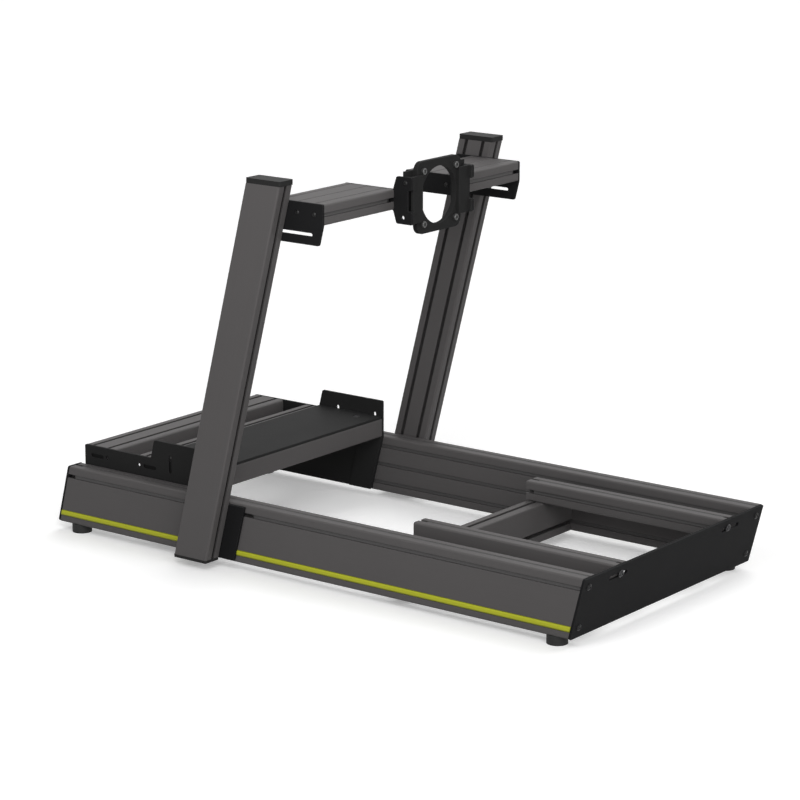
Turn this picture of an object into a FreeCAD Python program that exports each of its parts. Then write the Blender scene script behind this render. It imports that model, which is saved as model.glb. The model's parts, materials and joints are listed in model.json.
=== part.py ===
# Sim racing cockpit frame: slotted aluminium extrusions joined by steel plates. Millimetres and degrees.
# +X is the driver's right, +Y is forward to the pedals, +Z is up. The origin is on the floor, in the middle.
import FreeCAD, Part
import math
import os
import re
import Sketcher

sizes = {
    # section of the slotted extrusions
    "pitch": 40, "edge_radius": 4, "core_bore": 6.8,
    "slot_mouth": 8.2, "slot_lip": 4.5, "slot_inner": 20, "slot_wall": 1.8, "slot_floor": 9,
    "slot_depth": 12.3,
    # base frame
    "base_width": 620, "rail_length": 1250, "rake": 14.3, "trim_margin": 10, "trim_reach": 60,
    "foot_height": 18, "foot_diameter": 40, "front_foot_inset": 42, "rear_foot_inset": 36,
    "end_plate": 5, "plate_bevel": 2, "seat_slot_long": 60, "seat_slot_high": 9, "seat_slot_inset": 75,
    "strip_foot": 12, "strip_back": 2, "strip_gap": 0.1, "strip_head": 12.4, "strip_proud": 2,
    "strip_bevel": 3.4,
    # uprights
    "upright_height": 762, "upright_place": 251, "top_cap": 10, "bottom_cap": 6,
    "adapter": 6, "adapter_reach": 37,
    # wheel deck
    "crossbar_drop": 71, "crossbar_place": 5,
    "bracket": 5, "bracket_drop": 39, "bracket_inset": 6,
    "bracket_slot_rise": 19.5, "bracket_slot_high": 6.6, "bracket_slot_start": 28, "bracket_slot_long": 126,
    # wheel base mount
    "mount_gap": 190, "side_plate": 5, "head_high": 91, "head_lead": 2, "head_flare": 8, "head_reach": 43,
    "ear_high": 25, "ear_depth": 10, "adjuster_hole": 8, "adjuster_reach": 21, "adjuster_drop": 33,
    "motor_size": 140, "motor_plate": 10, "motor_radius": 18, "motor_bore": 112, "motor_circle": 145,
    "motor_hole": 9, "motor_setback": 33,
    "angle": 5, "angle_top": 55, "angle_bottom": 30, "angle_clear": 2,
    # pedal deck
    "pedal_bracket": 5, "pedal_setback": 21, "pedal_gap": 62,
    "pedal_slot_long": 27, "pedal_slot_high": 8, "pedal_hole": 8, "pedal_hole_inset": 4,
    "tab_long": 170, "tab_high": 38, "bracket_margin": 1, "leg_wide": 57, "leg_foot": 2, "leg": 3,
    "heel_reach": 349, "heel_spacing": 99, "heel_deep": 167, "heel_margin": 1, "heel_plate": 5,
    "heel_slot_long": 28,
    # seat
    "seat_length": 451, "seat_inset": 84,
}

doc = FreeCAD.newDocument("SimRacingCockpit")
sheet = doc.addObject("Spreadsheet::Sheet", "Sizes")
for row, (alias, size) in enumerate(sizes.items(), start=1):
    sheet.set(f"A{row}", alias)
    sheet.set(f"B{row}", str(size))
    sheet.setAlias(f"B{row}", alias)
doc.recompute()

# levels and faces that several pieces share
rail_high = "(3 * pitch)"
rail_middle = "(foot_height + 3 * pitch / 2)"
rail_top = "(foot_height + 3 * pitch)"
inner_face = "(base_width / 2 - pitch)"
upright_face = "(base_width / 2 + adapter)"
upright_half = "(pitch / cos(rake))"
adapter_front = f"(upright_place + {upright_half})"
adapter_rear = f"(upright_place - {upright_half} - adapter_reach)"
deck_half = "(base_width / 2 + adapter - bracket)"
crossbar_level = "(upright_height - crossbar_drop)"
deck_bottom = f"(foot_height + {crossbar_level})"
deck_middle = f"(foot_height + {crossbar_level} + pitch / 2)"
deck_rear = "(crossbar_place - 3 * pitch / 2)"
mount_half = "(mount_gap / 2)"
motor_bolt = "(motor_circle / 2 * cos(45))"
pedal_half = "(base_width / 2 - pitch - pedal_bracket)"
pedal_front = "(rail_length / 2 - pedal_setback)"
rear_bar = "(rail_length / 2 - pedal_setback - 2 * pitch - pedal_gap)"
heel_rear = "(rail_length / 2 - pedal_setback - heel_reach)"
seat_front = "(seat_length - rail_length / 2 - pitch * tan(rake))"

parts = []


def formula(text):
    """The text with each size written as a cell of the sheet."""
    return re.sub(r"[a-z_]+", lambda word: f"Sizes.{word[0]}" if word[0] in sizes else word[0], str(text))


def number(text):
    return float(sheet.evalExpression(formula(text)))


def bind(item, path, text):
    item.setExpression(path, formula(text))


def new_body(label, place, tilted=False):
    body = doc.addObject("PartDesign::Body", label)
    body.Label = label
    if tilted:
        body.Placement = FreeCAD.Placement(FreeCAD.Vector(), FreeCAD.Rotation(FreeCAD.Vector(1, 0, 0), 1))
        bind(body, "Placement.Rotation.Angle", "rake")
    for axis, text in zip("xyz", place):
        bind(body, f"Placement.Base.{axis}", text)
    parts.append(body)
    return body


def new_sketch(body, name, role, offset=None):
    sketch = body.newObject("Sketcher::SketchObject", name)
    plane = next(item for item in body.Origin.OriginFeatures if item.Role == role)
    sketch.AttachmentSupport = [(plane, "")]
    sketch.MapMode = "FlatFace"
    if offset:
        bind(sketch, "AttachmentOffset.Base.z", offset)
    return sketch


def pin(sketch, geometry, point, x, y):
    """Hold a point of the sketch at bound distances from its origin."""
    for kind, text in (("DistanceX", x), ("DistanceY", y)):
        index = sketch.addConstraint(Sketcher.Constraint(kind, -1, 1, geometry, point, number(text)))
        bind(sketch, f"Constraints[{index}]", text)


def draw_outline(sketch, corners):
    points = [FreeCAD.Vector(number(x), number(y), 0) for x, y in corners]
    first = sketch.GeometryCount
    count = len(points)
    for index in range(count):
        sketch.addGeometry(Part.LineSegment(points[index], points[(index + 1) % count]), False)
    for index in range(count):
        following = first + (index + 1) % count
        sketch.addConstraint(Sketcher.Constraint("Coincident", first + index, 2, following, 1))
    for index, (x, y) in enumerate(corners):
        pin(sketch, first + index, 1, x, y)


def draw_circle(sketch, x, y, diameter):
    centre = FreeCAD.Vector(number(x), number(y), 0)
    index = sketch.addGeometry(Part.Circle(centre, FreeCAD.Vector(0, 0, 1), number(diameter) / 2), False)
    size = sketch.addConstraint(Sketcher.Constraint("Diameter", index, number(diameter)))
    bind(sketch, f"Constraints[{size}]", diameter)
    pin(sketch, index, 3, x, y)


def draw_slot(sketch, start, end, width):
    """A slot with round ends about two centres."""
    one = FreeCAD.Vector(number(start[0]), number(start[1]), 0)
    two = FreeCAD.Vector(number(end[0]), number(end[1]), 0)
    radius = number(width) / 2
    turn = math.atan2(two.y - one.y, two.x - one.x)
    side = FreeCAD.Vector(-math.sin(turn), math.cos(turn), 0) * radius
    normal = FreeCAD.Vector(0, 0, 1)
    quarter = math.pi / 2
    rear_circle = Part.Circle(one, normal, radius)
    front_circle = Part.Circle(two, normal, radius)
    rear = sketch.addGeometry(Part.ArcOfCircle(rear_circle, turn + quarter, turn + 3 * quarter))
    low = sketch.addGeometry(Part.LineSegment(one - side, two - side))
    front = sketch.addGeometry(Part.ArcOfCircle(front_circle, turn - quarter, turn + quarter))
    high = sketch.addGeometry(Part.LineSegment(two + side, one + side))
    for before, after in ((rear, low), (low, front), (front, high), (high, rear)):
        sketch.addConstraint(Sketcher.Constraint("Tangent", before, 2, after, 1))
    sketch.addConstraint(Sketcher.Constraint("Equal", rear, front))
    size = sketch.addConstraint(Sketcher.Constraint("Radius", rear, radius))
    bind(sketch, f"Constraints[{size}]", f"({width}) / 2")
    pin(sketch, rear, 3, *start)
    pin(sketch, front, 3, *end)


def add_pad(body, sketch, length, symmetric=False, backwards=False):
    pad = body.newObject("PartDesign::Pad", "Pad")
    pad.Profile = sketch
    pad.SideType = "Symmetric" if symmetric else "One side"
    pad.Reversed = backwards
    bind(pad, "Length", length)
    doc.recompute()
    return pad


def break_edges(body, base, corners, kind, path, size):
    """Round or bevel the edges that run along the pad at the given corners of its sketch."""
    spots = [(number(x), number(y)) for x, y in corners]
    to_sketch = base.Profile[0].Placement.inverse()
    names = []
    for index, edge in enumerate(base.Shape.Edges, start=1):
        ends = [to_sketch.multVec(vertex.Point) for vertex in edge.Vertexes]
        if len(ends) == 2 and math.hypot(ends[0].x - ends[1].x, ends[0].y - ends[1].y) < 0.001:
            if any(math.hypot(ends[0].x - x, ends[0].y - y) < 0.01 for x, y in spots):
                names.append(f"Edge{index}")
    broken = body.newObject(kind, "BrokenEdges")
    broken.Base = (base, names)
    bind(broken, path, size)
    doc.recompute()


def round_edges(body, base, corners, radius):
    break_edges(body, base, corners, "PartDesign::Fillet", "Radius", radius)


def bevel_edges(body, base, corners, size):
    break_edges(body, base, corners, "PartDesign::Chamfer", "Size", size)


def cut_raked(body, name, middle, across, outward, vertical=False):
    """Cut an end at the rake: the cut crosses the middle line at the given distance along it."""
    reach = f"({across} / 2 + trim_margin)"
    slant = f"{reach} * tan(rake)"
    sign = "+" if outward > 0 else "-"
    far = f"{middle} {sign} ({slant} + trim_reach)"
    corners = [(f"{middle} + {slant}", f"-{reach}"), (f"{middle} - {slant}", reach), (far, reach),
               (far, f"-{reach}")]
    if vertical:
        corners = [(along, side) for side, along in corners]
    sketch = new_sketch(body, name, "YZ_Plane")
    draw_outline(sketch, corners)
    pocket = body.newObject("PartDesign::Pocket", f"{name}Cut")
    pocket.Profile = sketch
    pocket.SideType = "Symmetric"
    pocket.Type = "ThroughAll"
    doc.recompute()


def slot_points(centre):
    """A T-slot as distances along its face and in from it, with the nut's room behind the two lips."""
    half = [
        ("slot_mouth / 2", "0"), ("slot_mouth / 2", "slot_lip"), ("slot_inner / 2", "slot_lip"),
        ("slot_inner / 2", "slot_lip + slot_wall"), ("slot_floor / 2", "slot_depth"),
    ]
    before = [(f"{centre} - {along}", depth) for along, depth in half]
    after = [(f"{centre} + {along}", depth) for along, depth in reversed(half)]
    return before + after


def section_outline(wide, high, slots):
    """The section of an extrusion, anticlockwise, with T-slots at the given places on its four sides."""
    u = f"{wide} / 2"
    v = f"{high} / 2"
    corners = [(f"-{u}", f"-{v}")]
    for centre in slots.get("bottom", []):
        corners += [(along, f"-{v} + {depth}") for along, depth in slot_points(centre)]
    corners.append((u, f"-{v}"))
    for centre in slots.get("right", []):
        corners += [(f"{u} - ({depth})", along) for along, depth in slot_points(centre)]
    corners.append((u, v))
    for centre in reversed(slots.get("top", [])):
        corners += [(along, f"{v} - ({depth})") for along, depth in reversed(slot_points(centre))]
    corners.append((f"-{u}", v))
    for centre in reversed(slots.get("left", [])):
        corners += [(f"-{u} + {depth}", along) for along, depth in reversed(slot_points(centre))]
    return corners


def extrusion(label, role, modules, length, slots, place, bores=None, symmetric=False, tilted=False):
    """A slotted extrusion of square modules, with a core bore in each of them or in the given ones."""
    wide = f"({modules[0]} * pitch)"
    high = f"({modules[1]} * pitch)"
    body = new_body(label, place, tilted)
    sketch = new_sketch(body, "Section", role)
    draw_outline(sketch, section_outline(wide, high, slots))
    if bores is None:
        bores = [(column, line) for column in range(modules[0]) for line in range(modules[1])]
    for column, line in bores:
        x = f"({column} - {modules[0] - 1} / 2) * pitch"
        y = f"({line} - {modules[1] - 1} / 2) * pitch"
        draw_circle(sketch, x, y, "core_bore")
    pad = add_pad(body, sketch, length, symmetric)
    outer = [(f"{a}{wide} / 2", f"{b}{high} / 2") for a in ("-", "") for b in ("-", "")]
    round_edges(body, pad, outer, "edge_radius")
    return body


def plate(label, role, corners, thickness, place, circles=(), slots=(), radius=None, tilted=False):
    """A flat plate with round holes and long holes. Its corners are bevelled, or rounded to a radius."""
    body = new_body(label, place, tilted)
    sketch = new_sketch(body, "Outline", role)
    draw_outline(sketch, corners)
    for x, y, diameter in circles:
        draw_circle(sketch, x, y, diameter)
    for start, end, width in slots:
        draw_slot(sketch, start, end, width)
    pad = add_pad(body, sketch, thickness)
    if radius:
        round_edges(body, pad, corners, radius)
    else:
        bevel_edges(body, pad, corners, "plate_bevel")
    return body


one_slot = ["0"]
two_slots = ["-pitch / 2", "pitch / 2"]
three_slots = ["-pitch", "0", "pitch"]
outer_slots = ["-pitch", "pitch"]


def side_rail(name, sign):
    inner, outer = ("right", "left") if sign < 0 else ("left", "right")
    slots = {inner: three_slots, outer: outer_slots, "top": one_slot, "bottom": one_slot}
    place = (f"{sign} * (base_width - pitch) / 2", "0", rail_middle)
    bolted = [(0, 0), (0, 2)]
    body = extrusion(name, "XZ_Plane", (1, 3), f"rail_length + {rail_high} * tan(rake)", slots, place, bolted,
                     symmetric=True)
    cut_raked(body, "FrontEnd", "rail_length / 2", rail_high, 1)
    cut_raked(body, "RearEnd", "-rail_length / 2", rail_high, -1)


def accent_strip(name, sign):
    """The coloured strip in the lower outer slot: a bevelled head on the face and a foot behind the lips."""
    neck = "(slot_mouth / 2 - strip_gap)"
    shoulder = "-(slot_lip + strip_gap)"
    back = "-(slot_lip + strip_gap + strip_back)"
    half = [("strip_proud", "(strip_head / 2 - strip_bevel)"), ("0", "strip_head / 2"), ("0", neck),
            (shoulder, neck), (shoulder, "strip_foot / 2"), (back, "strip_foot / 2")]
    upper = [(f"{sign} * ({outward})", height) for outward, height in half]
    corners = upper + [(x, f"-{height}") for x, height in reversed(upper)]
    body = new_body(name, (f"{sign} * base_width / 2", "0", f"{rail_middle} - pitch"))
    sketch = new_sketch(body, "Section", "XZ_Plane")
    draw_outline(sketch, corners)
    add_pad(body, sketch, f"rail_length + {rail_high} * tan(rake)", symmetric=True)
    cut_raked(body, "FrontEnd", "(rail_length / 2 + pitch * tan(rake))", "strip_head", 1)
    cut_raked(body, "RearEnd", "(-rail_length / 2 + pitch * tan(rake))", "strip_head", -1)
    clear_adapter(body, sign)


def clear_adapter(body, sign):
    """Take the strip's head away where the upright's bracket lies flat on the rail."""
    low_lean = "(pitch / 2 - strip_head) * tan(rake)"
    high_lean = "(pitch / 2 + strip_head) * tan(rake)"
    front = f"{adapter_front} + strip_gap"
    rear = f"{adapter_rear} - strip_gap"
    sketch = new_sketch(body, "AdapterPlace", "YZ_Plane")
    draw_outline(sketch, [(f"{rear} - {low_lean}", "-strip_head"), (f"{front} - {low_lean}", "-strip_head"),
                          (f"{front} - {high_lean}", "strip_head"), (f"{rear} - {high_lean}", "strip_head")])
    pocket = body.newObject("PartDesign::Pocket", "AdapterPlaceCut")
    pocket.Profile = sketch
    pocket.Type = "ThroughAll"
    pocket.Reversed = sign > 0
    doc.recompute()


def end_corners(left, right):
    half = f"(({rail_high} / cos(rake) - end_plate * tan(rake)) / 2)"
    return [(left, f"-{half}"), (right, f"-{half}"), (right, half), (left, half)]


def rear_end_plate(name):
    """The plate across the rear ends of both rails, with a long hole above each side of the seat."""
    slots = []
    reach = "(seat_slot_long - seat_slot_high) / 2"
    level = "pitch / cos(rake)"
    for sign in (-1, 1):
        centre = f"{sign} * ({inner_face} - seat_slot_inset)"
        slots.append(((f"{centre} - {reach}", level), (f"{centre} + {reach}", level), "seat_slot_high"))
    corners = end_corners("-base_width / 2", "base_width / 2")
    place = ("0", "-rail_length / 2", rail_middle)
    plate(name, "XZ_Plane", corners, "end_plate", place, slots=slots, tilted=True)


def front_end_plate(name):
    """One plate over the front end of each rail, so that the frame stays open between them."""
    body = new_body(name, ("0", "rail_length / 2", rail_middle), tilted=True)
    sketch = new_sketch(body, "Outline", "XZ_Plane")
    corners = end_corners("-base_width / 2", f"-{inner_face}") + end_corners(inner_face, "base_width / 2")
    draw_outline(sketch, corners[:4])
    draw_outline(sketch, corners[4:])
    pad = add_pad(body, sketch, "end_plate", backwards=True)
    bevel_edges(body, pad, corners, "plate_bevel")


def foot(name, side, end, inset):
    """A round rubber foot under a rail."""
    body = new_body(name, (f"{side} * (base_width - pitch) / 2",
                           f"{end} * (rail_length / 2 - {inset}) + {rail_high} / 2 * tan(rake)", "0"))
    sole = new_sketch(body, "Sole", "XY_Plane")
    draw_circle(sole, "0", "0", "foot_diameter")
    add_pad(body, sole, "foot_height")


def upright(name, sign):
    inner = "left" if sign > 0 else "right"
    slots = {inner: two_slots, "bottom": one_slot, "top": one_slot}
    middle = "((upright_height + bottom_cap) / 2)"
    length = "((upright_height - bottom_cap) / cos(rake))"
    place = (f"{sign} * ({upright_face} + pitch / 2)", f"upright_place - {middle} * tan(rake)",
             f"foot_height + {middle}")
    body = extrusion(name, "XY_Plane", (1, 2), f"{length} + 2 * pitch * tan(rake)", slots, place, (),
                     symmetric=True, tilted=True)
    cut_raked(body, "TopEnd", f"{length} / 2", "2 * pitch", 1, vertical=True)
    cut_raked(body, "BottomEnd", f"-{length} / 2", "2 * pitch", -1, vertical=True)


def upright_cap(name, sign, level, thickness):
    corners = [("-pitch / 2", f"-{upright_half}"), ("pitch / 2", f"-{upright_half}"),
               ("pitch / 2", upright_half), ("-pitch / 2", upright_half)]
    lean = f"({level} + {thickness} / 2) * tan(rake)"
    place = (f"{sign} * ({upright_face} + pitch / 2)", f"upright_place - {lean}", f"foot_height + {level}")
    plate(name, "XY_Plane", corners, thickness, place)


def upright_bracket(name, sign):
    """The plate between rail and upright, on the flat of the rail. It shows behind the upright."""
    low = "edge_radius"
    high = f"({rail_high} - edge_radius)"
    corners = [(f"{adapter_rear} - {low} * tan(rake)", f"foot_height + {low}"),
               (f"{adapter_front} - {low} * tan(rake)", f"foot_height + {low}"),
               (f"{adapter_front} - {high} * tan(rake)", f"foot_height + {high}"),
               (f"{adapter_rear} - {high} * tan(rake)", f"foot_height + {high}")]
    left = f"-{upright_face}" if sign < 0 else "base_width / 2"
    plate(name, "YZ_Plane", corners, "adapter", (left, "0", "0"))


def crossbar(name, sign):
    slots = {"top": three_slots, "bottom": three_slots, "left": one_slot, "right": one_slot}
    left = f"-{deck_half}" if sign < 0 else f"{mount_half} + side_plate"
    bolted = [(0, 0), (1, 0)]
    extrusion(name, "YZ_Plane", (3, 1), f"{deck_half} - {mount_half} - side_plate", slots,
              (left, "crossbar_place", deck_middle), bolted)


def crossbar_bracket(name, sign):
    """The plate that carries a crossbar: its long hole takes the bolts to the upright."""
    low = f"({crossbar_level} - bracket_drop)"
    high = f"({crossbar_level} + pitch)"
    front = f"upright_place + {upright_half} - bracket_inset"
    corners = [(deck_rear, f"foot_height + {high}"), (deck_rear, deck_bottom),
               (f"{deck_rear} + bracket_drop * tan(rake)", f"foot_height + {low}"),
               (f"{front} - {low} * tan(rake)", f"foot_height + {low}"),
               (f"{front} - {high} * tan(rake)", f"foot_height + {high}")]
    rise = f"foot_height + {low} + bracket_slot_rise"
    start = f"{deck_rear} + bracket_slot_start"
    slots = [((start, rise), (f"{start} + bracket_slot_long", rise), "bracket_slot_high")]
    left = f"-{upright_face}" if sign < 0 else deck_half
    plate(name, "YZ_Plane", corners, "bracket", (left, "0", "0"), slots=slots)


def mount_side_plate(name, sign):
    """An arm on the crossbar's end that flares into a head with two ears behind the crossbar."""
    top = f"{deck_bottom} + pitch"
    head_top = f"{deck_middle} + head_high / 2"
    head_low = f"{deck_middle} - head_high / 2"
    neck = f"{deck_rear} + head_lead"
    flare = f"{deck_rear} + head_lead - head_flare"
    back = f"{deck_rear} - head_reach"
    recess = f"{back} + ear_depth"
    corners = [(f"{deck_rear} + 3 * pitch", deck_bottom), (f"{deck_rear} + 3 * pitch", top), (neck, top),
               (flare, head_top), (back, head_top), (back, f"{head_top} - ear_high"),
               (recess, f"{head_top} - ear_high"), (recess, f"{head_low} + ear_high"),
               (back, f"{head_low} + ear_high"), (back, head_low), (flare, head_low), (neck, deck_bottom)]
    circles = [(f"{deck_rear} - adjuster_reach", f"{deck_middle} - adjuster_drop", "adjuster_hole")]
    left = f"-{mount_half} - side_plate" if sign < 0 else mount_half
    plate(name, "YZ_Plane", corners, "side_plate", (left, "0", "0"), circles=circles)


def mount_angle(name, sign):
    """A channel that ties the motor plate to a side plate: the plate's edge sits between its two webs."""
    body = new_body(name, ("0", f"{deck_rear} - motor_setback + motor_plate + angle", deck_middle))
    outer = f"{sign} * {mount_half}"
    inner = f"{sign} * ({mount_half} - angle)"
    tip = f"{sign} * (motor_bore / 2 + angle_clear)"
    high = "(head_high / 2)"
    low = "(head_high / 2 - ear_high)"
    behind_plate = "(angle + motor_plate)"
    whole = "(angle + head_reach - motor_setback + motor_plate)"
    front_web = new_sketch(body, "FrontWeb", "XZ_Plane")
    draw_outline(front_web, [(outer, "-angle_bottom"), (tip, "-angle_bottom"), (tip, "angle_top"),
                             (outer, "angle_top")])
    add_pad(body, front_web, "angle")
    upper_flange = new_sketch(body, "UpperFlange", "XZ_Plane")
    draw_outline(upper_flange, [(outer, low), (inner, low), (inner, high), (outer, high)])
    add_pad(body, upper_flange, whole)
    rear_web = new_sketch(body, "RearWeb", "XZ_Plane", behind_plate)
    draw_outline(rear_web, [(inner, f"-{high}"), (tip, f"-{high}"), (tip, high), (inner, high)])
    add_pad(body, rear_web, "angle")
    lower_flange = new_sketch(body, "LowerFlange", "XZ_Plane", behind_plate)
    draw_outline(lower_flange, [(outer, f"-{high}"), (inner, f"-{high}"), (inner, f"-{low}"),
                                (outer, f"-{low}")])
    add_pad(body, lower_flange, f"{whole} - {behind_plate}")


def motor_plate(name):
    """The plate that the wheel base bolts to: a round opening for its spigot and four bolts on a circle."""
    half = "motor_size / 2"
    corners = [(f"-{half}", f"-{half}"), (half, f"-{half}"), (half, half), (f"-{half}", half)]
    circles = [(f"{a} * {motor_bolt}", f"{b} * {motor_bolt}", "motor_hole") for a in (-1, 1) for b in (-1, 1)]
    circles.append(("0", "0", "motor_bore"))
    place = ("0", f"{deck_rear} - motor_setback + motor_plate", deck_middle)
    plate(name, "XZ_Plane", corners, "motor_plate", place, circles=circles, radius="motor_radius")


def pedal_profile(name, modules, front, slots):
    place = (f"-{pedal_half}", f"{front} - {modules} * pitch / 2", f"{rail_top} + pitch / 2")
    extrusion(name, "YZ_Plane", (modules, 1), f"2 * {pedal_half}", slots, place)


def heel_plate(name):
    half = f"({pedal_half} - heel_margin)"
    corners = [(f"-{half}", "0"), (half, "0"), (half, "heel_deep"), (f"-{half}", "heel_deep")]
    plate(name, "XY_Plane", corners, "heel_plate", ("0", heel_rear, f"{rail_top} + pitch"))


def pedal_bracket(name, sign):
    """The plate inside a rail that carries the pedal profiles, with a tab above and a stiff leg below."""
    deck = f"{rail_top} + pitch"
    bottom = "(foot_height + leg_foot)"
    rear = f"{heel_rear} - bracket_margin"
    lean = f"({rail_high} - leg_foot) * tan(rake)"
    tab = f"{heel_rear} + tab_long"
    tab_top = f"{deck} + tab_high"
    corners = [(pedal_front, deck), (pedal_front, bottom), (f"{rear} + {lean}", bottom), (rear, rail_top),
               (rear, tab_top), (f"{tab} - tab_high * tan(rake)", tab_top), (tab, deck)]
    middle = f"{rail_top} + pitch / 2"
    slots = []
    for end in (f"{pedal_front} - pitch / 2", f"{rear_bar} - pitch / 2"):
        slots.append(((f"{end} - pedal_slot_long", middle), (end, middle), "pedal_slot_high"))
    for centre in (f"{heel_rear} + pitch / 2", f"{heel_rear} + pitch / 2 + heel_spacing"):
        slots.append(((centre, middle), (centre, f"{middle} + heel_slot_long"), "pedal_slot_high"))
    circles = [(f"{pedal_front} - 3 * pitch / 2", middle, "pedal_hole"),
               (f"{rear_bar} - pedal_hole_inset", middle, "pedal_hole")]
    left = f"-{inner_face}" if sign < 0 else pedal_half
    body = plate(name, "YZ_Plane", corners, "pedal_bracket", (left, "0", "0"), circles=circles, slots=slots)
    leg = new_sketch(body, "Leg", "YZ_Plane", "pedal_bracket" if sign < 0 else None)
    draw_outline(leg, [(rear, rail_top), (f"{rear} + {lean}", bottom),
                       (f"{rear} + {lean} + leg_wide", bottom), (f"{rear} + leg_wide", rail_top)])
    add_pad(body, leg, "leg", backwards=sign > 0)


def seat_rail(name, sign):
    inner = "left" if sign > 0 else "right"
    slots = {inner: one_slot, "top": one_slot, "bottom": one_slot}
    place = (f"{sign} * ({inner_face} - seat_inset)", seat_front, f"{rail_top} - pitch / 2")
    body = extrusion(name, "XZ_Plane", (1, 1), "seat_length + pitch / 2 * tan(rake)", slots, place)
    cut_raked(body, "RearEnd", "-seat_length", "pitch", -1)


def seat_cross_member(name):
    slots = {"top": one_slot, "bottom": one_slot, "left": ["-pitch / 2"], "right": two_slots}
    place = (f"-{inner_face}", f"{seat_front} - pitch / 2", "foot_height + pitch")
    extrusion(name, "YZ_Plane", (1, 2), f"2 * {inner_face}", slots, place, ())


rear_end_plate("rear_end_plate")
front_end_plate("front_end_plate")
for side, sign in (("left", -1), ("right", 1)):
    side_rail(f"{side}_side_rail", sign)
    accent_strip(f"{side}_accent_strip", sign)
    foot(f"front_{side}_foot", sign, 1, "front_foot_inset")
    foot(f"rear_{side}_foot", sign, -1, "rear_foot_inset")
    upright(f"{side}_upright", sign)
    upright_cap(f"{side}_upright_top_cap", sign, "upright_height", "top_cap")
    upright_cap(f"{side}_upright_bottom_cap", sign, "0", "bottom_cap")
    upright_bracket(f"{side}_upright_bracket", sign)
    crossbar(f"{side}_crossbar", sign)
    crossbar_bracket(f"{side}_crossbar_bracket", sign)
    mount_side_plate(f"mount_{side}_side_plate", sign)
    mount_angle(f"mount_{side}_angle", sign)
    pedal_bracket(f"{side}_pedal_bracket", sign)
    seat_rail(f"{side}_seat_rail", sign)
motor_plate("motor_plate")
double_sides = {"top": two_slots, "bottom": two_slots, "right": one_slot}
pedal_profile("front_pedal_profile", 2, pedal_front, double_sides)
three_sides = {"top": one_slot, "bottom": one_slot, "right": one_slot}
pedal_profile("rear_pedal_profile", 1, rear_bar, three_sides)
pedal_profile("heel_front_profile", 1, f"{heel_rear} + pitch + heel_spacing", three_sides)
pedal_profile("heel_rear_profile", 1, f"{heel_rear} + pitch", three_sides)
heel_plate("heel_plate")
seat_cross_member("seat_cross_member")

doc.recompute()
failed = [item.Name for item in doc.Objects if "Invalid" in item.State or "Error" in item.State]
failed += [body.Label for body in parts if body.Shape.isNull() or not body.Shape.isValid()]
if failed:
    raise RuntimeError("failed: " + ", ".join(failed))
os.makedirs("parts", exist_ok=True)
for body in parts:
    body.Shape.exportStep(f"parts/{body.Label}.step")
print(len(parts), "parts written")
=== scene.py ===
import json
import math

import bmesh
import bpy
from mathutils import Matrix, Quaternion, Vector


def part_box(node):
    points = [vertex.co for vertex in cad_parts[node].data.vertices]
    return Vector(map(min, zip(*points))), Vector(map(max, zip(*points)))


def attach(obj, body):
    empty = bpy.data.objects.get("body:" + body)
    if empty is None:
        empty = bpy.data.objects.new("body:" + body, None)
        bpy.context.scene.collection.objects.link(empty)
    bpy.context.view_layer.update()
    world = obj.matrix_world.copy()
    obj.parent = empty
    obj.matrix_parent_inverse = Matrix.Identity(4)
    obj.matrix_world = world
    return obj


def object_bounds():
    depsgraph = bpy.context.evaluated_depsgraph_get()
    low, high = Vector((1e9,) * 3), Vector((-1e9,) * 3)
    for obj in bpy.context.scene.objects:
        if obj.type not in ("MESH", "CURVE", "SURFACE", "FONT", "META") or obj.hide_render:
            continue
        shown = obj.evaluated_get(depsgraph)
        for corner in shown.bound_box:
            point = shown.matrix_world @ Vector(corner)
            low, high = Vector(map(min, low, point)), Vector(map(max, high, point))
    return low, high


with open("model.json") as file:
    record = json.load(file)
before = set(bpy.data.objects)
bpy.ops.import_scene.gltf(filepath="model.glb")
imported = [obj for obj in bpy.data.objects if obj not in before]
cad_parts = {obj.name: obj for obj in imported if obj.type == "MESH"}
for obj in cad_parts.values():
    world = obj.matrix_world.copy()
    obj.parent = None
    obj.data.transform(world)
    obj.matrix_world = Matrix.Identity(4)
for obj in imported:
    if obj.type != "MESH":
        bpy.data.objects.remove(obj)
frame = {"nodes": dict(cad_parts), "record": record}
cadLow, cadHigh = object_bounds()
nodes = frame["nodes"]
mm = 0.001
print("frame loaded,", len(nodes), "nodes")

# sizes read back from the frame
railLow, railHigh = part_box("left_side_rail")
uprightLow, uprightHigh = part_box("left_upright")
capLow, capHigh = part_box("left_upright_top_cap")
barLow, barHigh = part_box("left_crossbar")
module = barHigh.z - barLow.z  # a flat crossbar is one module of the extrusion high
uprightDeep = capHigh.y - capLow.y
rake = math.atan((uprightHigh.y - uprightLow.y - uprightDeep) / (uprightHigh.z - uprightLow.z))
sides = ((-1, "left"), (1, "right"))


def faceOf(name, side):
    # where the left (-1) or right (1) face of a node lies along X
    low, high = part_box(name)
    return low.x if side < 0 else high.x


# shader helpers

def plug(tree, value, socket):
    if isinstance(value, bpy.types.NodeSocket):
        tree.links.new(value, socket)
    else:
        socket.default_value = value


def addNode(tree, kind, attributes=None, sockets=None):
    made = tree.nodes.new(kind)
    for key, value in (attributes or {}).items():
        setattr(made, key, value)
    for key, value in (sockets or {}).items():
        plug(tree, value, made.inputs[key])
    return made


def makeGroup(name, inputs, outputs):
    tree = bpy.data.node_groups.new(name, "ShaderNodeTree")
    for label, kind in inputs:
        tree.interface.new_socket(label, in_out="INPUT", socket_type=kind)
    for label, kind in outputs:
        tree.interface.new_socket(label, in_out="OUTPUT", socket_type=kind)
    return tree, tree.nodes.new("NodeGroupInput").outputs, tree.nodes.new("NodeGroupOutput").inputs


def useGroup(tree, group, sockets):
    return addNode(tree, "ShaderNodeGroup", {"node_tree": group}, sockets).outputs


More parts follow.
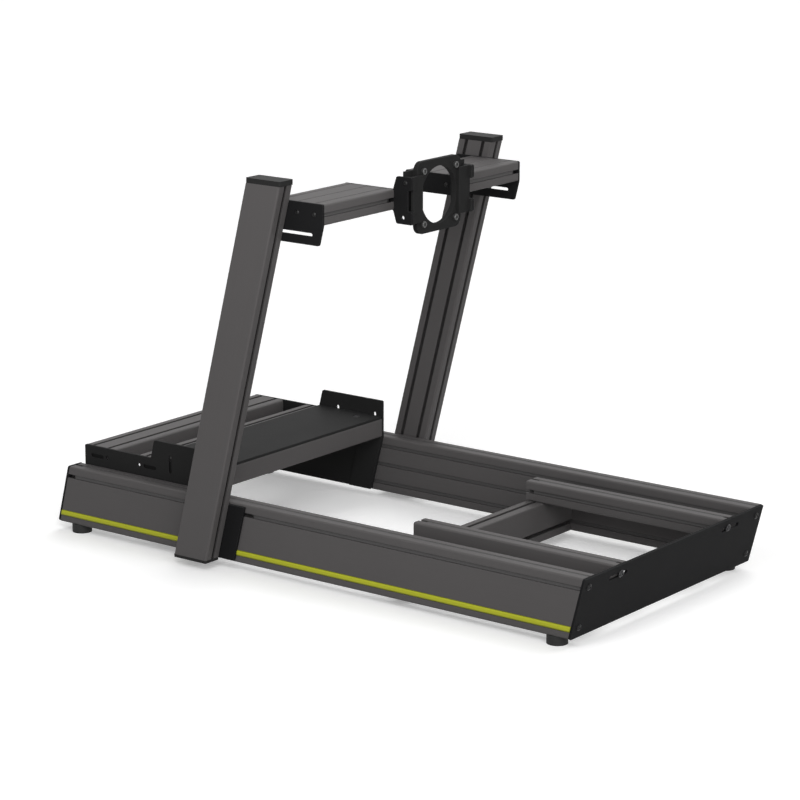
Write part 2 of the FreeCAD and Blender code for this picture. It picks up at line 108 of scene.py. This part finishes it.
def mixValue(tree, amount, first, second):
    mix = addNode(tree, "ShaderNodeMix", {"data_type": "FLOAT"}, {0: amount, 2: first, 3: second})
    return mix.outputs[0]


def mixColour(tree, amount, first, second):
    mix = addNode(tree, "ShaderNodeMix", {"data_type": "RGBA"}, {0: amount, 6: first, 7: second})
    return mix.outputs[2]


def spread(tree, value, low, high):
    made = addNode(tree, "ShaderNodeMapRange", None, {"Value": value, "To Min": low, "To Max": high})
    return made.outputs[0]


def narrow(tree, value, low, high):
    made = addNode(tree, "ShaderNodeMapRange", None, {"Value": value, "From Min": low, "From Max": high})
    return made.outputs[0]


# effects that several materials share
edgeFinder = {"samples": 6, "flat": 0.995, "sharp": 0.75}


def makeEdgeCatch():
    # rounds the shading over sharp edges and gives a mask of where they are, along which the materials paint
    # a highlight (a shade on the accent strip)
    tree, given, out = makeGroup("edgeCatch", [("Radius", "NodeSocketFloat")],
                                 [("Edge", "NodeSocketFloat"), ("Normal", "NodeSocketVector")])
    bevel = addNode(tree, "ShaderNodeBevel", {"samples": edgeFinder["samples"]}, {"Radius": given["Radius"]})
    flat = addNode(tree, "ShaderNodeNewGeometry")
    facing = addNode(tree, "ShaderNodeVectorMath", {"operation": "DOT_PRODUCT"},
                     {0: bevel.outputs[0], 1: flat.outputs["Normal"]})
    edge = narrow(tree, facing.outputs["Value"], edgeFinder["flat"], edgeFinder["sharp"])
    plug(tree, edge, out["Edge"])
    plug(tree, bevel.outputs[0], out["Normal"])
    return tree


slotFinder = {"samples": 6, "shut": 0.35, "open": 0.9}


def makeSlotShade():
    # how far a spot lies open to the light: low inside slots and bores, where the anodised bars get painted
    # shade
    tree, given, out = makeGroup("slotShade", [("Reach", "NodeSocketFloat")], [("Open", "NodeSocketFloat")])
    around = addNode(tree, "ShaderNodeAmbientOcclusion",
                     {"samples": slotFinder["samples"], "only_local": True}, {"Distance": given["Reach"]})
    clear = narrow(tree, around.outputs["AO"], slotFinder["shut"], slotFinder["open"])
    plug(tree, clear, out["Open"])
    return tree


def cloudAndBump(tree, given, out, fine, look):
    # mixes a fine texture with a soft cloud into a tone, and raises the fine one as a bump
    cloud = addNode(tree, "ShaderNodeTexNoise", None, {"Vector": given["Vector"], "Scale": look["cloudScale"],
                                                       "Detail": look["cloudDetail"]})
    bump = addNode(tree, "ShaderNodeBump", None, {"Strength": look["bump"], "Distance": given["Depth"],
                                                  "Height": fine, "Normal": given["Normal"]})
    plug(tree, mixValue(tree, look["cloudShare"], fine, cloud.outputs["Fac"]), out["Tone"])
    plug(tree, bump.outputs[0], out["Normal"])


lineLook = {"scale": 1, "detail": 4, "roughness": 0.65, "cloudScale": 9, "cloudDetail": 3, "cloudShare": 0.4,
            "bump": 0.35}


def makeDrawnLines():
    # fine lines that an extruded bar carries along its length
    tree, given, out = makeGroup(
        "drawnLines", [("Vector", "NodeSocketVector"), ("Stretch", "NodeSocketVector"),
                       ("Depth", "NodeSocketFloat"), ("Normal", "NodeSocketVector")],
        [("Tone", "NodeSocketFloat"), ("Normal", "NodeSocketVector")])
    stretched = addNode(tree, "ShaderNodeVectorMath", {"operation": "MULTIPLY"},
                        {0: given["Vector"], 1: given["Stretch"]})
    lines = addNode(tree, "ShaderNodeTexNoise", None,
                    {"Vector": stretched.outputs[0], "Scale": lineLook["scale"], "Detail": lineLook["detail"],
                     "Roughness": lineLook["roughness"]})
    cloudAndBump(tree, given, out, lines.outputs["Fac"], lineLook)
    return tree


skinLook = {"detail": 2, "roughness": 0.55, "cloudScale": 14, "cloudDetail": 4, "cloudShare": 0.5,
            "bump": 0.5}


def makeSurfaceGrain():
    # the pebbled skin of powder coat, moulded plastic, rubber and oxide
    tree, given, out = makeGroup(
        "surfaceGrain", [("Vector", "NodeSocketVector"), ("Scale", "NodeSocketFloat"),
                         ("Depth", "NodeSocketFloat"), ("Normal", "NodeSocketVector")],
        [("Tone", "NodeSocketFloat"), ("Normal", "NodeSocketVector")])
    pebble = addNode(tree, "ShaderNodeTexNoise", None,
                     {"Vector": given["Vector"], "Scale": given["Scale"], "Detail": skinLook["detail"],
                      "Roughness": skinLook["roughness"]})
    cloudAndBump(tree, given, out, pebble.outputs["Fac"], skinLook)
    return tree


edgeCatch = makeEdgeCatch()
slotShade = makeSlotShade()
drawnLines = makeDrawnLines()
surfaceGrain = makeSurfaceGrain()


def newMaterial(name):
    material = bpy.data.materials.new(name)
    material.use_nodes = True
    tree = material.node_tree
    tree.nodes.clear()
    shader = tree.nodes.new("ShaderNodeBsdfPrincipled")
    output = tree.nodes.new("ShaderNodeOutputMaterial")
    tree.links.new(shader.outputs[0], output.inputs["Surface"])
    return material, tree, shader


def objectPlace(tree):
    return addNode(tree, "ShaderNodeTexCoord").outputs["Object"]


def dressShader(tree, shader, look, colour, texture):
    plug(tree, colour, shader.inputs["Base Color"])
    plug(tree, spread(tree, texture["Tone"], look["smooth"], look["rough"]), shader.inputs["Roughness"])
    plug(tree, texture["Normal"], shader.inputs["Normal"])
    shader.inputs["Metallic"].default_value = look["metallic"]
    shader.inputs["Specular IOR Level"].default_value = look["specular"]


# the slot colour is painted shade for the inside of slots and bores, and the edge colour is a painted
# highlight along sharp edges
anodised = {
    "dark": (0.078, 0.074, 0.074, 1), "light": (0.098, 0.093, 0.093, 1), "edge": (0.13, 0.125, 0.125, 1),
    "slot": (0.008, 0.008, 0.008, 1), "slotReach": 12 * mm, "along": 3, "across": 700,
    "lineDepth": 0.12 * mm, "edgeRadius": 0.8 * mm, "metallic": 0.05, "specular": 0.12,
    "smooth": 0.44, "rough": 0.58,
}


def makeAnodised(name, direction, lean=0.0):
    # direction is the axis that the bar runs along, lean how far it is tilted about X
    material, tree, shader = newMaterial(name)
    turned = addNode(tree, "ShaderNodeVectorRotate", {"rotation_type": "X_AXIS"},
                     {"Vector": objectPlace(tree), "Angle": -lean})
    stretch = [anodised["across"]] * 3
    stretch["XYZ".index(direction)] = anodised["along"]
    edge = useGroup(tree, edgeCatch, {"Radius": anodised["edgeRadius"]})
    lines = useGroup(tree, drawnLines, {"Vector": turned.outputs[0], "Stretch": stretch,
                                        "Depth": anodised["lineDepth"], "Normal": edge["Normal"]})
    clear = useGroup(tree, slotShade, {"Reach": anodised["slotReach"]})
    body = mixColour(tree, lines["Tone"], anodised["dark"], anodised["light"])
    # along sharp edges the colour turns to the lighter edge colour: a painted highlight
    face = mixColour(tree, edge["Edge"], body, anodised["edge"])
    # inside slots and bores the colour turns near black: painted shade
    dressShader(tree, shader, anodised, mixColour(tree, clear["Open"], anodised["slot"], face), lines)
    return material


def makeGrained(name, look):
    material, tree, shader = newMaterial(name)
    edge = useGroup(tree, edgeCatch, {"Radius": look["edgeRadius"]})
    grain = useGroup(tree, surfaceGrain, {"Vector": objectPlace(tree), "Scale": look["scale"],
                                          "Depth": look["depth"], "Normal": edge["Normal"]})
    body = mixColour(tree, grain["Tone"], look["dark"], look["light"])
    # along sharp edges the colour turns to the look's edge colour: a painted highlight, on the accent strip a
    # painted shade
    dressShader(tree, shader, look, mixColour(tree, edge["Edge"], body, look["edge"]), grain)
    return material


# in each look below the edge colour is painted along sharp edges: a painted highlight where it is lighter
# than the body, and on the accent strip, where it is darker, a painted shade
powderCoat = {
    "dark": (0.0085, 0.0085, 0.009, 1), "light": (0.0135, 0.0135, 0.014, 1), "edge": (0.045, 0.045, 0.047, 1),
    "scale": 900, "depth": 0.2 * mm, "edgeRadius": 0.7 * mm, "metallic": 0, "specular": 0.04,
    "smooth": 0.5, "rough": 0.7,
}
# the bracket and heel coats are lighter copies of the same black powder coat: painted light that brightens
# those plates
bracketCoatPaintedLight = dict(powderCoat, dark=(0.0145, 0.0145, 0.0145, 1), light=(0.0215, 0.0215, 0.0215, 1))
heelCoatPaintedLight = dict(powderCoat, dark=(0.019, 0.019, 0.019, 1), light=(0.027, 0.027, 0.027, 1))
# the accent strip's edge colour is darker than its body: painted shade along the strip's edges
accentPlastic = {
    "dark": (0.38, 0.4, 0.018, 1), "light": (0.47, 0.49, 0.03, 1), "edge": (0.2, 0.21, 0.012, 1),
    "scale": 1200, "depth": 0.08 * mm, "edgeRadius": 2.6 * mm, "metallic": 0, "specular": 0.25,
    "smooth": 0.4, "rough": 0.55,
}
capPlastic = {
    "dark": (0.015, 0.015, 0.015, 1), "light": (0.022, 0.022, 0.022, 1), "edge": (0.05, 0.05, 0.05, 1),
    "scale": 1500, "depth": 0.1 * mm, "edgeRadius": 1 * mm, "metallic": 0, "specular": 0.07,
    "smooth": 0.42, "rough": 0.6,
}
# a near-black copy of the cap plastic: painted shade for the inside of the pedal brackets' long holes
paintedHoleShade = dict(capPlastic, dark=(0.002, 0.002, 0.002, 1), light=(0.004, 0.004, 0.004, 1),
                   edge=(0.006, 0.006, 0.006, 1))
footRubber = {
    "dark": (0.011, 0.011, 0.011, 1), "light": (0.018, 0.018, 0.018, 1), "edge": (0.03, 0.03, 0.03, 1),
    "scale": 700, "depth": 0.25 * mm, "edgeRadius": 1.5 * mm, "metallic": 0, "specular": 0.3,
    "smooth": 0.6, "rough": 0.8,
}
coverPlastic = {
    "dark": (0.042, 0.04, 0.04, 1), "light": (0.056, 0.054, 0.054, 1), "edge": (0.07, 0.07, 0.07, 1),
    "scale": 900, "depth": 0.1 * mm, "edgeRadius": 0.4 * mm, "metallic": 0, "specular": 0.35,
    "smooth": 0.5, "rough": 0.7,
}
paleCover = dict(coverPlastic, dark=(0.066, 0.063, 0.063, 1), light=(0.084, 0.08, 0.08, 1))
# the bolts' light edge colours paint a highlight on the rims of their heads
blackOxide = {
    "dark": (0.02, 0.02, 0.021, 1), "light": (0.035, 0.035, 0.037, 1), "edge": (0.16, 0.16, 0.165, 1),
    "scale": 1100, "depth": 0.06 * mm, "edgeRadius": 0.7 * mm, "metallic": 0.7, "specular": 0.5,
    "smooth": 0.3, "rough": 0.48,
}
# a darker copy of the same black oxide for the end plate, crossbar and mount ear bolts: painted shade that
# dims them and their rims
blackOxidePaintedShade = dict(blackOxide, dark=(0.01, 0.01, 0.01, 1), light=(0.018, 0.018, 0.018, 1),
                 edge=(0.05, 0.05, 0.05, 1))
boltSteel = dict(blackOxide, dark=(0.06, 0.06, 0.06, 1), light=(0.1, 0.1, 0.1, 1), edge=(0.24, 0.24, 0.24, 1))

grainedLooks = {
    "powderCoat": powderCoat, "bracketCoatPaintedLight": bracketCoatPaintedLight, "heelCoatPaintedLight": heelCoatPaintedLight,
    "accentPlastic": accentPlastic, "capPlastic": capPlastic, "paintedHoleShade": paintedHoleShade,
    "footRubber": footRubber, "coverPlastic": coverPlastic, "paleCover": paleCover,
    "blackOxide": blackOxide, "blackOxidePaintedShade": blackOxidePaintedShade, "boltSteel": boltSteel,
}
materials = {name: makeGrained(name, look) for name, look in grainedLooks.items()}
materials["anodisedCross"] = makeAnodised("anodisedCross", "X")
materials["anodisedLong"] = makeAnodised("anodisedLong", "Y")
materials["anodisedUpright"] = makeAnodised("anodisedUpright", "Z", rake)

# a node takes the finish that its name's ending has here, or else that of its slot in the record
finishOfEnding = {"side_rail": "anodisedLong", "seat_rail": "anodisedLong", "upright": "anodisedUpright",
                  "pedal_bracket": "bracketCoatPaintedLight", "motor_plate": "bracketCoatPaintedLight", "angle": "bracketCoatPaintedLight",
                  "heel_plate": "heelCoatPaintedLight"}
finishOfSlot = {"anodised_aluminium": "anodisedCross", "coated_steel": "powderCoat",
                "accent_plastic": "accentPlastic", "cap_plastic": "capPlastic", "foot_rubber": "footRubber"}
slotOf = {part["node"]: part["material_slot"] for part in frame["record"]["subparts"]}
for name, thing in nodes.items():
    finish = finishOfSlot[slotOf[name]]
    for ending, special in finishOfEnding.items():
        if name.endswith(ending):
            finish = special
    thing.data.materials.clear()
    thing.data.materials.append(materials[finish])
print("materials set,", len(materials))


# mesh helpers
sharpAngle = math.radians(35)
ringSteps = 24


def addPiece(name, shape, finish):
    bmesh.ops.recalc_face_normals(shape, faces=shape.faces)
    mesh = bpy.data.meshes.new(name)
    shape.to_mesh(mesh)
    shape.free()
    mesh.shade_smooth()
    mesh.set_sharp_from_angle(angle=sharpAngle)
    mesh.materials.append(materials[finish])
    piece = bpy.data.objects.new(name, mesh)
    bpy.context.scene.collection.objects.link(piece)
    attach(piece, "root")


def skinRings(shape, rings):
    # a closed solid: sides from ring to ring of points, and a face at each end
    made = [[shape.verts.new(point) for point in ring] for ring in rings]
    count = len(made[0])
    for lower, upper in zip(made, made[1:]):
        for step in range(count):
            after = (step + 1) % count
            shape.faces.new((lower[step], lower[after], upper[after], upper[step]))
    shape.faces.new(made[-1])
    shape.faces.new(made[0][::-1])


def hexRadius(flat, turn):
    # distance from the middle to the side of a hexagon socket
    sixth = math.pi / 3
    return flat / math.cos((turn + sixth / 2) % sixth - sixth / 2)


def addBolt(shape, point, axis, bolt):
    # a head turned about its axis, on a washer where the bolt has one, with a hexagon socket
    turn = axis.to_track_quat("Z", "Y")
    lift = bolt["washerHigh"]
    top = lift + bolt["high"]
    angles = [step * 2 * math.pi / ringSteps for step in range(ringSteps)]
    outline = [(bolt["washer"], 0), (bolt["washer"], lift)] if lift > 0 else []
    outline += [(bolt["radius"], lift), (bolt["radius"], lift + bolt["rim"]), (bolt["top"], top)]
    rings = [[(radius, height)] * ringSteps for radius, height in outline]
    for height in (top, top - bolt["depth"]):
        rings.append([(hexRadius(bolt["socket"], angle), height) for angle in angles])
    skinRings(shape, [[point + turn @ Vector((radius * math.cos(angle), radius * math.sin(angle), height))
                       for angle, (radius, height) in zip(angles, ring)] for ring in rings])


def addBolts(name, places, bolt, finish="blackOxide"):
    shape = bmesh.new()
    for point, axis in places:
        addBolt(shape, Vector(point), Vector(axis), bolt)
    addPiece(name, shape, finish)


# bolts
buttonBolt = {"radius": 6.4 * mm, "rim": 0.9 * mm, "top": 3.8 * mm, "high": 2.8 * mm, "socket": 2.5 * mm,
              "depth": 2 * mm, "washer": 0, "washerHigh": 0}
smallBolt = {"radius": 4.6 * mm, "rim": 0.8 * mm, "top": 2.8 * mm, "high": 2.6 * mm, "socket": 1.7 * mm,
             "depth": 1.5 * mm, "washer": 0, "washerHigh": 0}

endPlate = {"thick": 5 * mm, "lowBolt": 20 * mm, "highBolt": 100 * mm}
seatEndBolt = dict(buttonBolt, washer=7.5 * mm, washerHigh=0.8 * mm)


def onEndPlate(name, end, x, height):
    # a point on the outer face of a leaning end plate, at a height above the rails' underside
    low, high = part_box(name)
    outward = Vector((0, math.cos(rake), math.sin(rake))) * end
    slope = Vector((0, -math.sin(rake), math.cos(rake)))
    middle = (low + high) / 2
    face = Vector((x, middle.y, middle.z)) + outward * (endPlate["thick"] / 2)
    return face + slope * ((railLow.z + height - face.z) / slope.z), outward


def makeEndPlateBolts():
    rail = abs(railLow.x + module / 2)
    for name, end in (("rear_end_plate", -1), ("front_end_plate", 1)):
        places = [onEndPlate(name, end, side * rail, height)
                  for side in (-1, 1) for height in (endPlate["lowBolt"], endPlate["highBolt"])]
        addBolts(name + "_bolts", places, buttonBolt, "blackOxidePaintedShade")
    seatLow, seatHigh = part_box("left_seat_rail")
    seat = (seatLow.x + seatHigh.x) / 2
    places = [onEndPlate("rear_end_plate", -1, side * seat, endPlate["highBolt"]) for side in (-1, 1)]
    addBolts("seat_rail_end_bolts", places, seatEndBolt)


def makeCrossbarBolts():
    # at each end of the crossbars: two in the rear modules outside, one in the rearmost inside
    rows = [barLow.y + module / 2 + module * step for step in range(2)]
    level = (barLow.z + barHigh.z) / 2
    outer = []
    inner = []
    for side, name in sides:
        outerFace = faceOf(name + "_crossbar_bracket", side)
        innerFace = faceOf("mount_" + name + "_side_plate", -side)
        outer += [((outerFace, y, level), (side, 0, 0)) for y in rows]
        inner.append(((innerFace, rows[0], level), (-side, 0, 0)))
    addBolts("crossbar_outer_bolts", outer, smallBolt, "blackOxidePaintedShade")
    addBolts("crossbar_inner_bolts", inner, smallBolt, "blackOxidePaintedShade")


washerBolt = dict(buttonBolt, washer=8.5 * mm, washerHigh=1.2 * mm)
bracketSlot = {"rise": 19.5 * mm, "apart": 20 * mm}


def makeBracketBolts():
    # bolts in the long hole of each crossbar bracket, over the two inner slots of the upright
    places = []
    for side, name in sides:
        postLow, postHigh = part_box(name + "_upright")
        face = faceOf(name + "_crossbar_bracket", -side)
        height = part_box(name + "_crossbar_bracket")[0].z + bracketSlot["rise"]
        middle = postLow.y + uprightDeep / 2 + (postHigh.z - height) * math.tan(rake)
        for across in (-1, 1):
            y = middle + across * bracketSlot["apart"] / math.cos(rake)
            places.append(((face, y, height), (-side, 0, 0)))
    addBolts("upright_bracket_bolts", places, washerBolt)


capBolt = {"radius": 6.5 * mm, "rim": 4.4 * mm, "top": 5.6 * mm, "high": 5.2 * mm, "socket": 3 * mm,
           "depth": 3 * mm, "washer": 0, "washerHigh": 0, "circle": 145 * mm}


def makeMotorBolts():
    # four bolts on the diagonals of the bolt circle
    low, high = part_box("motor_plate")
    reach = capBolt["circle"] / 2 * math.cos(math.pi / 4)
    middle = (low.z + high.z) / 2
    places = [((x, low.y, middle + z), (0, -1, 0)) for x in (-reach, reach) for z in (-reach, reach)]
    addBolts("motor_plate_bolts", places, capBolt, "boltSteel")


mountEar = {"in": 15 * mm, "down": 11 * mm}


def makeMountBolts():
    # one bolt through each upper ear into the angle behind it
    places = []
    for side, name in sides:
        low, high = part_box("mount_" + name + "_side_plate")
        face = faceOf("mount_" + name + "_side_plate", side)
        places.append(((face, low.y + mountEar["in"], high.z - mountEar["down"]), (side, 0, 0)))
    addBolts("mount_ear_bolts", places, smallBolt, "blackOxidePaintedShade")


flatBolt = {"radius": 7 * mm, "rim": 0.3 * mm, "top": 6.2 * mm, "high": 0.7 * mm, "socket": 2.6 * mm,
            "depth": 0.6 * mm, "washer": 0, "washerHigh": 0, "fromEnd": 32 * mm, "fromRear": 42 * mm}


def makeHeelBolts():
    low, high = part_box("heel_plate")
    places = [((x, low.y + flatBolt["fromRear"], high.z), (0, 0, 1))
              for x in (low.x + flatBolt["fromEnd"], high.x - flatBolt["fromEnd"])]
    addBolts("heel_plate_bolts", places, flatBolt)


sunkBolt = {"radius": 3.9 * mm, "rim": 0.7 * mm, "top": 2.8 * mm, "high": 2 * mm, "socket": 1.6 * mm,
            "depth": 1.2 * mm, "washer": 0, "washerHigh": 0, "sunk": 6 * mm, "inset": 11 * mm}


def makeSeatBolts():
    # each seat rail is bolted down to the cross member in its slot, near its front end
    places = []
    for name in ("left_seat_rail", "right_seat_rail"):
        low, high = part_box(name)
        spot = ((low.x + high.x) / 2, high.y - sunkBolt["inset"], high.z - sunkBolt["sunk"])
        places.append((spot, (0, 0, 1)))
    addBolts("seat_rail_top_bolts", places, sunkBolt)


makeEndPlateBolts()
makeCrossbarBolts()
makeBracketBolts()
makeMotorBolts()
makeMountBolts()
makeHeelBolts()
makeSeatBolts()
print("bolts made")


# near-black pieces sunk in the long holes of the pedal brackets where a profile lies behind them: painted
# shade that stands in for the dark inside of the holes
holeShadePiece = {"gap": 0.2 * mm, "sunk": 1.8 * mm, "thick": 2.5 * mm, "steps": 10, "radius": 4 * mm,
            "long": 27 * mm, "high": 16 * mm}


def addHoleShade(shape, centre, half, outward):
    # half reaches from the piece's middle to the centre of one of its round ends
    across = half.normalized().cross(outward)
    along = outward.cross(across)
    radius = holeShadePiece["radius"] - holeShadePiece["gap"]
    outline = []
    for end in (1, -1):
        for step in range(holeShadePiece["steps"] + 1):
            turn = math.pi * (step / holeShadePiece["steps"] - 0.5)
            outline.append(half * end + (along * math.cos(turn) + across * math.sin(turn)) * radius * end)
    depths = (holeShadePiece["sunk"], holeShadePiece["sunk"] + holeShadePiece["thick"])
    skinRings(shape, [[centre + point - outward * depth for point in outline] for depth in depths])


def makePedalHoleShades():
    lying = Vector((0, holeShadePiece["long"] / 2, 0))
    standing = Vector((0, 0, holeShadePiece["high"] / 2))
    for side, name in sides:
        face = faceOf(name + "_pedal_bracket", side)
        outward = Vector((side, 0, 0))
        shape = bmesh.new()
        for bar in ("front_pedal_profile", "rear_pedal_profile"):
            low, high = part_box(bar)
            end = Vector((face, high.y - module / 2, (low.z + high.z) / 2))
            addHoleShade(shape, end - lying, lying, outward)
        for bar in ("heel_front_profile", "heel_rear_profile"):
            low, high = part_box(bar)
            end = Vector((face, (low.y + high.y) / 2, (low.z + high.z) / 2))
            addHoleShade(shape, end + standing, standing, outward)
        addPiece(name + "_pedal_bracket_hole_shades", shape, "paintedHoleShade")


makePedalHoleShades()
print("hole shades made")


# cover strips that close slots of the rails, the crossbars and the seat rails
cover = {"wide": 7.8 * mm, "recess": 1.5 * mm, "flush": 0.4 * mm, "thick": 3 * mm, "bevel": 0.6 * mm,
         "groove": 0.9 * mm, "short": 18 * mm}


def coverOutline(recess):
    half = cover["wide"] / 2
    face = -recess
    return [(-half, face - cover["bevel"]), (-half + cover["bevel"], face), (-cover["groove"], face),
            (0, face - cover["groove"] / 2), (cover["groove"], face), (half - cover["bevel"], face),
            (half, face - cover["bevel"]), (half, face - cover["thick"]), (-half, face - cover["thick"])]


def addCover(shape, start, end, outward, recess):
    # a strip from start to end of a slot, its face set back from the bar's own by recess
    start = Vector(start)
    end = Vector(end)
    outward = Vector(outward)
    across = (end - start).normalized().cross(outward)
    outline = coverOutline(recess)
    skinRings(shape, [[point + across * a + outward * b for a, b in outline] for point in (start, end)])


def railEnds(low, high, height):
    # how far a strip at this height can run between the raked ends of a rail
    margin = (cover["thick"] + cover["recess"]) * math.tan(rake)
    rear = low.y + (high.z - height) * math.tan(rake) + margin
    front = high.y - (height - low.z) * math.tan(rake) - cover["short"]
    return rear, front


def makeRailCovers():
    middle = (railLow.z + railHigh.z) / 2
    upper = middle + module
    for side, name in sides:
        low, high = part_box(name + "_side_rail")
        adapterLow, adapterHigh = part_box(name + "_upright_bracket")
        outer = faceOf(name + "_side_rail", side)
        inner = faceOf(name + "_side_rail", -side)
        shape = bmesh.new()
        for height in (middle - module, middle, upper):
            rear, front = railEnds(low, high, height)
            addCover(shape, (inner, rear, height), (inner, front, height), (-side, 0, 0), cover["recess"])
        # the upper outer slot, before and behind the upright's bracket
        rear, front = railEnds(low, high, upper)
        gap = adapterLow.y - cover["short"]
        addCover(shape, (outer, adapterHigh.y, upper), (outer, front, upper), (side, 0, 0), cover["recess"])
        addCover(shape, (outer, rear, upper), (outer, gap, upper), (side, 0, 0), cover["recess"])
        # the top slot
        rear, front = railEnds(low, high, high.z)
        centre = (low.x + high.x) / 2
        addCover(shape, (centre, rear, high.z), (centre, front, high.z), (0, 0, 1), cover["flush"])
        addPiece(name + "_rail_covers", shape, "coverPlastic")


def makeBarCovers():
    level = (barLow.z + barHigh.z) / 2
    for name in ("left", "right"):
        low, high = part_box(name + "_crossbar")
        end = high.x - cover["short"]
        shape = bmesh.new()
        for y, way in ((low.y, -1), (high.y, 1)):
            addCover(shape, (low.x, y, level), (end, y, level), (0, way, 0), cover["recess"])
        addPiece(name + "_crossbar_covers", shape, "coverPlastic")
        shape = bmesh.new()
        for step in range(3):
            y = low.y + module * (step + 0.5)
            addCover(shape, (low.x, y, high.z), (high.x, y, high.z), (0, 0, 1), cover["flush"])
        addPiece(name + "_crossbar_top_covers", shape, "paleCover")


def makeSeatCovers():
    for side, name in sides:
        low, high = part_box(name + "_seat_rail")
        inner = faceOf(name + "_seat_rail", -side)
        centre = (low.x + high.x) / 2
        level = (low.z + high.z) / 2
        rear = low.y + (high.z - low.z) * math.tan(rake)
        front = high.y - cover["short"]
        shape = bmesh.new()
        addCover(shape, (inner, rear, level), (inner, front, level), (-side, 0, 0), cover["recess"])
        addCover(shape, (centre, rear, high.z), (centre, front, high.z), (0, 0, 1), cover["flush"])
        addPiece(name + "_seat_rail_covers", shape, "coverPlastic")


makeRailCovers()
makeBarCovers()
makeSeatCovers()
print("slot covers made")


# floor, light and camera
studio = {"white": (1, 1, 1, 1), "floorSize": 80, "floorRough": 0.9, "floorSpecular": 0.1,
          "floorBounce": 0.2, "floorShade": 0.88, "floorLift": 0.285, "sky": 0.27, "backdrop": 1,
          "key": 1.35, "keySoft": math.radians(54), "keyFrom": (0.62, -0.12, 1),
          "fill": 2.1, "fillSoft": math.radians(60), "fillFrom": (-0.62, -0.86, 0.28),
          "lampPower": 15, "lampSize": 0.9, "lampPlace": (-1.6, -0.6, 1.4), "lampAim": (-0.34, 0.1, 0.8)}


def backgroundSeen(tree):
    # 1 for the rays that show the background: the camera's own, off gloss and through glass
    ray = addNode(tree, "ShaderNodeLightPath").outputs
    seen = ray["Is Camera Ray"]
    for kind in ("Is Glossy Ray", "Is Transmission Ray"):
        seen = addNode(tree, "ShaderNodeMath", {"operation": "MAXIMUM"}, {0: seen, 1: ray[kind]}).outputs[0]
    return seen


def makeFloor():
    material, tree, shader = newMaterial("paleFloor")
    shader.inputs["Roughness"].default_value = studio["floorRough"]
    shader.inputs["Specular IOR Level"].default_value = studio["floorSpecular"]
    shader.inputs["Emission Color"].default_value = studio["white"]
    # it is seen bright, and the light that it throws back is dimmer
    seen = backgroundSeen(tree)
    plug(tree, spread(tree, seen, studio["floorBounce"], studio["floorShade"]), shader.inputs["Base Color"])
    plug(tree, spread(tree, seen, 0, studio["floorLift"]), shader.inputs["Emission Strength"])
    half = studio["floorSize"] / 2
    corners = [(-half, -half, 0), (half, -half, 0), (half, half, 0), (-half, half, 0)]
    mesh = bpy.data.meshes.new("floor")
    mesh.from_pydata(corners, [], [(0, 1, 2, 3)])
    mesh.materials.append(material)
    floor = bpy.data.objects.new("floor", mesh)
    floor.location.z = cadLow.z
    bpy.context.scene.collection.objects.link(floor)


def addLamp(name, light, place, backwards):
    lamp = bpy.data.objects.new(name, light)
    lamp.location = place
    lamp.rotation_euler = backwards.to_track_quat("Z", "Y").to_euler()
    bpy.context.scene.collection.objects.link(lamp)


def addSun(name, strength, softness, source):
    sun = bpy.data.lights.new(name, "SUN")
    sun.energy = strength
    sun.angle = softness
    addLamp(name, sun, Vector(source), Vector(source))


def makeLight():
    world = bpy.data.worlds.new("studio")
    world.use_nodes = True
    tree = world.node_tree
    tree.nodes.clear()
    soft = addNode(tree, "ShaderNodeBackground", None, {"Color": studio["white"], "Strength": studio["sky"]})
    bright = addNode(tree, "ShaderNodeBackground", None,
                     {"Color": studio["white"], "Strength": studio["backdrop"]})
    mix = addNode(tree, "ShaderNodeMixShader", None,
                  {0: backgroundSeen(tree), 1: soft.outputs[0], 2: bright.outputs[0]})
    addNode(tree, "ShaderNodeOutputWorld", None, {"Surface": mix.outputs[0]})
    bpy.context.scene.world = world
    for name in ("key", "fill"):
        addSun(name + "Light", studio[name], studio[name + "Soft"], studio[name + "From"])
    softbox = bpy.data.lights.new("softbox", "AREA")
    softbox.energy = studio["lampPower"]
    softbox.size = studio["lampSize"]
    place = Vector(studio["lampPlace"])
    addLamp("softbox", softbox, place, place - Vector(studio["lampAim"]))


shot = {"lens": 134.3, "sensor": 36, "shift": (0.0008, 0.00045), "roll": math.radians(0.1),
        "place": (-4.546, -3.458, 1.721), "aim": (0.009, 0.014, 0.304)}


def makeCamera():
    view = bpy.data.cameras.new("camera")
    view.lens = shot["lens"]
    view.sensor_width = shot["sensor"]
    view.shift_x, view.shift_y = shot["shift"]
    camera = bpy.data.objects.new("camera", view)
    camera.location = shot["place"]
    ahead = Vector(shot["aim"]) - camera.location
    roll = Quaternion((0, 0, 1), shot["roll"])
    camera.rotation_euler = (ahead.to_track_quat("-Z", "Y") @ roll).to_euler()
    bpy.context.scene.collection.objects.link(camera)
    bpy.context.scene.camera = camera


makeFloor()
makeLight()
makeCamera()
bpy.context.scene.view_settings.view_transform = "Standard"
print("stage set")
